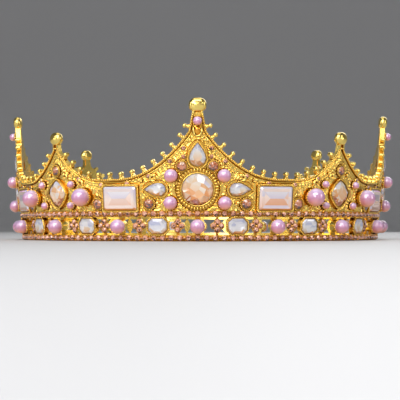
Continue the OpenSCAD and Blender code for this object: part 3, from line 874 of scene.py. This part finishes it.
rail_stones.build("rail_stones", "pink_rhinestone", [PINK_STONE], smooth=False)
rail_gold.build("rail_cups", "gold", [RAIL_GOLD])
beds.build("painted_shade_beds", "gold", [PAINTED_SHADE_GOLD])

# Flowers of the gallery: a small stone in each lobe and a bead at the centre

PETAL_FACE, PETAL_OUT, PETAL_STONE_D = -0.6, 1.5, 2.12
flower_stones, flower_gold = Pile(), Pile()
petal_stone = chaton(PETAL_STONE_D, 0.55)
petal_cup = cup(PETAL_STONE_D, 0.16, -0.1, [(0.14, 0.1), (0.05, 0.18), (-0.04, 0.12)], 14)
for place in FLOWER_AT:
    for x, y in ((PETAL_OUT, 0), (0, PETAL_OUT), (-PETAL_OUT, 0), (0, -PETAL_OUT)):
        flower_stones.add(moved(petal_stone, x, y, PETAL_FACE + 0.1), place)
        flower_gold.add(moved(petal_cup, x, y, PETAL_FACE), place)
    flower_gold.add(ball(1.1, 10, 6, (1, 1, 0.8), (0, 0, PETAL_FACE + 0.3)), place)
flower_stones.build("flower_stones", "pink_rhinestone", [PINK_STONE], smooth=False)
flower_gold.build("flower_cups", "gold", [RAIL_GOLD])

# The crest's border, as distances measured on the unrolled wall

UNROLL = cone_r(VALLEY_Z) * math.pi / 180
FAR = 1e9
BLOCK = 2000


def mirrored_border(az):
    """Height of the border at any angle, mirrored about each peak."""
    a = np.abs((np.asarray(az, float) + LOW) % QUARTER - LOW)
    return np.where(a > LOW, border_z(QUARTER - a), border_z(a))


border_az = np.linspace(-8, 60, 1200)
BORDER = np.column_stack([border_az * UNROLL, mirrored_border(border_az)])


def border_distance(az, z):
    """Distance from the border, for angles folded into 0 to 45 degrees, worked out in blocks of points."""
    p = np.column_stack([np.asarray(az, float) * UNROLL, np.asarray(z, float)])
    best = np.full(len(p), FAR)
    for k in range(0, len(p), BLOCK):
        block = p[k:k + BLOCK]
        d = np.hypot(block[:, None, 0] - BORDER[None, :, 0], block[:, None, 1] - BORDER[None, :, 1])
        best[k:k + BLOCK] = d.min(1)
    return best


def along_border(inset, pitch):
    """Even places along a line inset from the border, from a tall peak to the next low one."""
    a = np.linspace(TALL_NECK_AZ * 0.6, LOW - 0.3, 900)
    line = np.column_stack([a * UNROLL, border_z(a)])
    d = unit(np.gradient(line, axis=0))
    inner = line + inset * np.column_stack([d[:, 1], -d[:, 0]])
    keep = border_distance(inner[:, 0] / UNROLL, inner[:, 1]) > inset * 0.94 - 0.03
    keep &= (inner[:, 0] > 0) & (inner[:, 0] < LOW * UNROLL)
    spots = even_points(inner[keep], pitch, 0.5)
    return list(zip((spots[:, 0] / UNROLL).tolist(), spots[:, 1].tolist()))


# Settings that the relief makes way for

SETTING_WALL, RIB_RING = 0.5, 1.9
BAGUETTE_HALF = (BAGUETTE[0] / 2 + SETTING_WALL, BAGUETTE[1] / 2 + SETTING_WALL)


def settings():
    """Each setting as (angle, height, turn in degrees, half width, half height)."""
    stones = [(ROUND_AT, (ROUND_D, ROUND_D), RIB_RING), (TOP_PEAR_AT, TOP_PEAR, SETTING_WALL),
              (SIDE_PEAR_AT, SIDE_PEAR, SETTING_WALL), (BAGUETTE_AT, BAGUETTE, SETTING_WALL),
              (CUSHION_AT, (CUSHION_D, CUSHION_D), SETTING_WALL)]
    out = [(*p, w / 2 + wall, h / 2 + wall) for places, (w, h), wall in stones for p in places]
    out += [(p[0], p[1], 0.0, p[3] / 2 + SETTING_WALL, p[3] / 2 + SETTING_WALL) for p in ROSE_AT]
    for _, places, d, _ in CREST_ROWS:
        out += [(p[0], p[1], 0.0, d * COLLAR_SHARE, d * COLLAR_SHARE) for p in places]
    return out


def setting_field(az, z):
    """What lies nearest to points with az in 0 to 45.

    It gives the distances to the nearest setting's edge and to the next one's, and the nearest one's ray
    angle and mean radius.
    """
    first, second = np.full(len(az), FAR), np.full(len(az), FAR)
    angle, radius = np.zeros(len(az)), np.ones(len(az))
    for s_az, s_z, turn, hw, hh in settings():
        near = (s_az + LOW) % 360 - LOW
        if near < -20 or near > 65:
            continue
        x, y, t = (az - near) * UNROLL, z - s_z, math.radians(turn)
        u, v = x * math.cos(t) + y * math.sin(t), -x * math.sin(t) + y * math.cos(t)
        if (hw, hh) == BAGUETTE_HALF:
            qx, qy = np.abs(u) - hw, np.abs(v) - hh
            d = np.hypot(np.maximum(qx, 0), np.maximum(qy, 0)) + np.minimum(np.maximum(qx, qy), 0)
        else:
            share = np.hypot(u / hw, v / hh)
            d = (share - 1) * np.hypot(u, v) / np.maximum(share, 0.05)
        closer = d < first
        second = np.where(closer, first, np.minimum(second, d))
        first = np.where(closer, d, first)
        angle = np.where(closer, np.arctan2(v, u), angle)
        radius = np.where(closer, (hw + hh) / 2, radius)
    return first, second, angle, radius


def smooth_step(x, low, high):
    t = np.clip((x - low) / (high - low), 0, 1)
    return t * t * (3 - 2 * t)


# Cast relief: leaf rays round the settings, small lumps far from them, and a tooled channel

RELIEF_STEP = 0.3
RELIEF_FOOT = UPPER_RAIL_Z + RAIL_H - 0.05
RELIEF_TOP = 46.0
RAY_PITCH, RAY_SWIRL, RAY_RISE, FEWEST_RAYS = 1.5, 0.22, 0.50, 6
LUMP_RISE, TOOL_RISE, LINE_RISE, SETTING_DIP = 0.35, 0.34, 0.34, 0.35
PLATE_COVER, RELIEF_EDGE, SETTING_LAP = 0.06, 0.5, 0.35


def relief_height(az, z):
    """Distance out from the nominal cone of the cast relief, and whether a point shows it."""
    border = border_distance(az, z)
    first, second, angle, radius = setting_field(az, z)
    x = az * UNROLL
    field = smooth_step(border, CHANNEL_W - 0.25, CHANNEL_W - 0.02)
    rays = np.maximum(np.round(2 * math.pi * (radius + 1.2) / RAY_PITCH), FEWEST_RAYS)
    ray = 0.5 + 0.5 * np.cos(rays * (angle + RAY_SWIRL * first))
    vein = smooth_step(second - first, 0.1, 1.1)
    far_off = smooth_step(first, 2.4, 4.2)
    lumps = np.sin(x * 3.1 + 1.3 * np.sin(z * 2.1)) + np.sin(z * 3.7 + 1.1 * np.sin(az * 1.9))
    lump = LUMP_RISE * (0.5 + 0.25 * lumps)
    leaf = (1 - far_off) * (0.08 + RAY_RISE * ray ** 0.8) * (0.3 + 0.7 * vein) + far_off * lump
    out = PLATE_FACE + PLATE_COVER + (FIELD_FACE - PLATE_FACE) * field
    out += field * smooth_step(first, 0.1, 0.7) * leaf
    line = smooth_step(border, 0.95, 1.15) * (1 - smooth_step(border, 1.3, 1.55))
    tooling = 0.5 + 0.5 * np.sin(x * 4.2 + 1.7 * np.sin(z * 1.9)) * np.cos(z * 3.6 + np.sin(az * 1.3))
    out += (1 - field) * (LINE_RISE * line + TOOL_RISE * tooling * smooth_step(border, 1.6, 1.9))
    out -= SETTING_DIP * (1 - smooth_step(first, -0.2, 0.12))
    return out, (z < mirrored_border(az)) & (border > RELIEF_EDGE) & (first > -SETTING_LAP)


def relief():
    """The cast relief, worked out for one half section and mirrored to every section, in four pieces."""
    columns = int(LOW * UNROLL / RELIEF_STEP)
    az, z = np.linspace(0, LOW, columns + 1), np.arange(RELIEF_FOOT, RELIEF_TOP, RELIEF_STEP)
    a, h = (grid.ravel() for grid in np.meshgrid(az, z))
    out, shows = relief_height(a, h)
    index = np.arange(len(a)).reshape(len(z), columns + 1)
    quads = np.stack([index[:-1, :-1], index[:-1, 1:], index[1:, 1:], index[1:, :-1]], -1).reshape(-1, 4)
    quads = quads[shows[quads].all(1)]
    used = np.unique(quads)
    slot_of = np.full(len(out), -1)
    slot_of[used] = np.arange(len(used))
    quads = slot_of[quads]
    a, h, out = a[used], h[used], out[used]
    r = cone_r(h) + out * math.cos(LEAN)
    for q in range(4):
        pile = Pile()
        for side in (-1, 1):
            turn = np.radians(QUARTER * q + side * a)
            verts = np.column_stack([r * np.sin(turn), -r * np.cos(turn), h - out * math.sin(LEAN)])
            order = quads if side == 1 else quads[:, ::-1]
            pile.add((verts, order.tolist()))
        pile.build(f"relief_{q + 1}", "gold", [RELIEF_GOLD])


relief()

# Beads along the border wire and along the field's edge: inset, pitch, width, height and foot

bead_rows = Pile()
for inset, pitch, d, height, face in ((0.2, 0.84, 0.78, 0.46, WIRE_FACE),
                                      (CHANNEL_W + 0.05, 0.8, 0.72, 0.5, FIELD_FACE)):
    bead = dome(d, height, 7, 2, face)
    for place in all_round(along_border(inset, pitch)):
        bead_rows.add(bead, place)
bead_rows.build("border_beads", "gold", [BRIGHT_GOLD])

# Small stones set in the channel, with grains between them

EDGE_STONE_D, EDGE_STONE_AZ = 1.9, (7.6, 13.6, 20.1, 28.3, 36.2)
EDGE_STONE_OUT, NECK_STONES = PLATE_FACE + 0.45, [(3.8, 34.2), (3.8, 31.1)]
CHANNEL_MID, CHANNEL_GRAIN_PITCH, CHANNEL_GRAIN_CLEAR = 2.05, 1.25, 1.5
channel = along_border(CHANNEL_MID, 0.1)
edge_places = [min(channel, key=lambda p: abs(p[0] - az)) for az in EDGE_STONE_AZ] + NECK_STONES
edge_stones, edge_gold = Pile(), Pile()
edge_stone = moved(chaton(EDGE_STONE_D, 0.5), 0.0, 0.0, EDGE_STONE_OUT + 0.08)
edge_cup = moved(cup(EDGE_STONE_D, 0.3, -0.3, [(0.24, 0.2), (0.1, 0.3), (-0.06, 0.2)], 14),
                 0.0, 0.0, EDGE_STONE_OUT)
for place in all_round(edge_places):
    edge_stones.add(edge_stone, place)
    edge_gold.add(edge_cup, place)
edge_stones.build("edge_stones", "pink_rhinestone", [DARK_STONE], smooth=False)
channel_grain = dome(0.66, 0.36, 6, 2, PLATE_FACE + 0.1)
for az, z in along_border(CHANNEL_MID, CHANNEL_GRAIN_PITCH):
    if all(math.hypot((az - e[0]) * UNROLL, z - e[1]) > CHANNEL_GRAIN_CLEAR for e in edge_places):
        for twin in all_round([(az, z)]):
            edge_gold.add(channel_grain, twin)
edge_gold.build("edge_cups", "gold", [BRIGHT_GOLD])

# Picots: round heads on the flat ones of the frame, with a grooved collar at the foot


def picot_places():
    """Angle, height and slope of each picot, measured as in the part's source."""
    samples, step = 80, 0.25
    az = FIRST_PICOT_AZ + (LAST_PICOT_AZ - FIRST_PICOT_AZ) * np.arange(samples + 1) / samples
    mm = RIM_R * math.pi / 180
    run = np.concatenate([[0], np.cumsum(np.hypot(np.diff(az) * mm, np.diff(border_z(az))))])
    at = np.interp(np.arange(PICOTS) * run[-1] / (PICOTS - 1), run, az)
    slope = np.degrees(np.arctan2(border_z(at + step) - border_z(at - step), 2 * step * mm))
    return list(zip(at.tolist(), border_z(at).tolist(), slope.tolist()))


PICOT_FACE = WIRE_FACE - 0.15
PICOT_SHAPES = [
    dome(PICOT_D + 0.04, 0.66, 14, 4, PICOT_FACE, (0.0, PICOT_REACH)),
    ball(1.0, 10, 6, (0.8, 2.2, 0.8), (0.0, 0.7, PICOT_FACE)),
    ball(1.0, 10, 6, (1.7, 0.9, 0.7), (0.0, 0.2, PICOT_FACE)),
]
picots = Pile()
for place in all_round(picot_places()):
    for shape in PICOT_SHAPES:
        picots.add(shape, place)
picots.build("picot_heads", "gold", [BRIGHT_GOLD])

# Finials: smooth flattened balls closely over the frame's own, with a low dome in front


def finial(size):
    wide, high, over, bulge = 40, 16, 0.06, 0.24
    edge = BALL_T / 2 + over
    core = size[1] / 2 - BALL_T / 2
    half = (size[0] - size[1]) / 2
    way = circle(wide, 0.5)
    flat = core * way + half * np.column_stack([np.sign(way[:, 0]), np.zeros(wide)])
    rings = [level(flat * share, edge + height) for share, height in ((0.4, 0.2), (0.75, 0.09))]
    for k in range(high + 1):
        t = math.pi * k / high
        rings.append(level(flat + edge * math.sin(t) * way, edge * math.cos(t)))
    verts = np.concatenate([[(0.0, 0.0, edge + bulge)], *rings, [(0.0, 0.0, -edge)]])
    return verts + np.array([0.0, 0.0, (PLATE_BACK + WIRE_FACE) / 2]), skin(len(rings), wide)


# The U of wire with a drop in it, which stands under each tall peak's tip pearl
ARC_AT, ARC_R, ARC_ARM, ARC_STRETCH, ARC_WIRE_R, ARC_OUT = 40.4, 1.45, 1.7, 1.15, 0.36, 0.12
bend = np.radians(np.linspace(180, 360, 15))
arc = np.column_stack([ARC_R * np.cos(bend), ARC_R * ARC_STRETCH * np.sin(bend)])
arc = np.vstack([(-ARC_R - 0.1, ARC_ARM), arc, (ARC_R + 0.1, ARC_ARM)])
drop = ball(1.0, 14, 8, (2.3, 3.3, 0.8), (0, 0.3, -0.05))
finials, drops = Pile(), Pile()
for q in range(4):
    finials.add(finial(TALL_BALL), (QUARTER * q, TALL_BALL_Z))
    finials.add(finial(LOW_BALL), (QUARTER * q + LOW, LOW_BALL_Z))
    finials.add(tube(level(arc, ARC_OUT), ARC_WIRE_R), (QUARTER * q, ARC_AT))
    drops.add(drop, (QUARTER * q, ARC_AT))
finials.build("finial_balls", "gold", [SATIN_GOLD])
drops.build("drop_cells", "gold", [AMBER_GOLD])

# C-scrolls over the frame's own: pairs of angle, height, turn and radius

SCROLLS = [
    pair(TALL, 12.4, 23.4, 60.0, 1.1),
    pair(TALL, 10.5, 14.4, 190.0, 1.0),
    pair(LOW, 3.5, 24.6, 60.0, 0.9),
    pair(LOW, 9.4, 22.0, 80.0, 1.0),
    pair(LOW, 8.7, 13.2, 200.0, 0.9),
]
SCROLL_TURN, SCROLL_STEPS = 250, 26


def scroll(r):
    """A C of wire from the right end of radius r, thickest in its middle. A negative r mirrors it."""
    t = np.radians(np.linspace(0, SCROLL_TURN, SCROLL_STEPS))
    swell = np.interp(np.arange(SCROLL_STEPS), [0, 12, 25], [0.5, 0.62, 0.34])
    line = np.column_stack([r * np.cos(t), abs(r) * np.sin(t)])
    return tube(level(line, FIELD_FACE + 0.16), swell)


scrolls = Pile()
for twins in SCROLLS:
    for flip, (az, z, turn, r) in enumerate(twins):
        reach = -r if flip else r
        for place in quarters([(az, z, turn)]):
            scrolls.add(scroll(reach), place)
            scrolls.add(ball(1.5, 12, 8, (1, 1, 0.8), (reach, 0, FIELD_FACE + 0.5)), place)

# Leaf fans between the settings: angle, height and turn, and each leaf's size and spread
LEAF_FANS = [
    (5.3, 20.9, 35.0), (4.6, 12.9, 160.0), (17.4, 12.6, 170.0), (29.8, 14.2, 250.0), (29.2, 19.6, 290.0),
    (40.4, 24.9, 20.0), (16.4, 21.9, 330.0), (2.4, 36.6, 0.0),
]
LEAVES = [(1.0, 0.0), (0.85, 22.0), (0.85, -22.0), (0.7, 44.0), (0.7, -44.0)]
for size, spread in LEAVES:
    leaf = ball(1.0, 8, 6, (0.62, 1.9 * size, 0.7), (0, size, FIELD_FACE + 0.2))
    for place in all_round([(az, z, -turn - spread) for az, z, turn in LEAF_FANS]):
        scrolls.add(leaf, place)
scrolls.build("scrolls", "gold", [BRIGHT_GOLD])

# The frame's solids keep their shapes and take the materials. The first name part that fits counts

NODE_MATERIALS = [("crown_frame", FRAME_GOLD), ("pearl", PEARL), ("side_pear", CLEAR_GLASS),
                  ("gallery_stones", CLEAR_GLASS), ("rose", ROSE_GLASS), ("", CHAMPAGNE_GLASS)]
for name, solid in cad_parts.items():
    material = next(m for key, m in NODE_MATERIALS if key in name)
    for k in range(len(solid.data.materials)):
        solid.data.materials[k] = material

# Floor and backdrop, in metres


def round_wall(radius, cove, height, sides=96, steps=12):
    """A wall all round that rises out of the floor in a cove, so that every view has the same ground."""
    bend = [math.pi / 2 * k / steps for k in range(steps + 1)]
    line = [(radius - cove + cove * math.sin(b), cove - cove * math.cos(b)) for b in bend]
    line.append((radius, height))
    verts = np.concatenate([level(circle(sides) * r, z) for r, z in line])
    return verts.tolist(), bands(len(line), sides)


FLOOR_HALF = 3.0
FLOOR_CORNERS = [(x * FLOOR_HALF, y * FLOOR_HALF, 0) for x, y in ((-1, -1), (1, -1), (1, 1), (-1, 1))]
PALE = node_material("pale_floor", {"Base Color": (0.62, 0.62, 0.63, 1.0), "Roughness": 0.6})[0]
new_piece("floor", FLOOR_CORNERS, [(0, 1, 2, 3)], [PALE], False)
new_piece("backdrop", *round_wall(1.5, 0.6, 3.0), [PALE], True)

# Light and camera

MIDDLE = Vector((0.0, 0.0, 0.025))


def softbox(name, location, size, energy, colour=(1.0, 1.0, 1.0)):
    """A rectangular lamp that faces the crown's middle."""
    data = bpy.data.lights.new(name, "AREA")
    data.shape = "RECTANGLE"
    data.size, data.size_y = size
    data.energy = energy
    data.color = colour
    lamp = bpy.data.objects.new(name, data)
    lamp.location = location
    lamp.rotation_euler = (MIDDLE - Vector(location)).to_track_quat("-Z", "Y").to_euler()
    bpy.context.scene.collection.objects.link(lamp)


softbox("key", (-0.12, -0.55, 0.55), (0.8, 0.4), 4.1)
softbox("front", (-0.22, -0.72, 0.24), (0.26, 0.22), 1.2)
softbox("left_strip", (-0.70, -0.30, 0.20), (0.15, 0.50), 0.9)
softbox("right_strip", (0.70, -0.30, 0.20), (0.15, 0.50), 0.9, (1.0, 0.98, 0.95))
softbox("sparkle_left", (-0.45, -0.62, 0.26), (0.07, 0.07), 0.35)
softbox("sparkle_right", (0.34, -0.66, 0.20), (0.06, 0.06), 0.3)
softbox("front_low", (0.0, -0.80, 0.09), (0.5, 0.05), 0.15)
softbox("top", (0.0, 0.1, 0.65), (0.5, 0.5), 0.9)
softbox("rim", (0.25, 0.60, 0.35), (0.5, 0.3), 1.2)

world = bpy.data.worlds.new("studio")
world.use_nodes = True
set_inputs(world.node_tree.nodes["Background"], {"Color": (0.80, 0.82, 0.86, 1.0), "Strength": 0.08})
bpy.context.scene.world = world
bpy.context.scene.view_settings.view_transform = "Standard"

CAMERA_AZ, CAMERA_PITCH = 0.66, 1.26
CAMERA_DISTANCE, CAMERA_Z = 0.521, 0.0055
camera_data = bpy.data.cameras.new("camera")
camera_data.lens = 108.8
camera_data.sensor_width = 36.0
camera_data.clip_start = 0.01
camera = bpy.data.objects.new("camera", camera_data)
turn = math.radians(CAMERA_AZ)
camera.location = (CAMERA_DISTANCE * math.sin(turn), -CAMERA_DISTANCE * math.cos(turn), CAMERA_Z)
camera.rotation_euler = (math.radians(90 + CAMERA_PITCH), 0.0, turn)
bpy.context.scene.collection.objects.link(camera)
bpy.context.scene.camera = camera
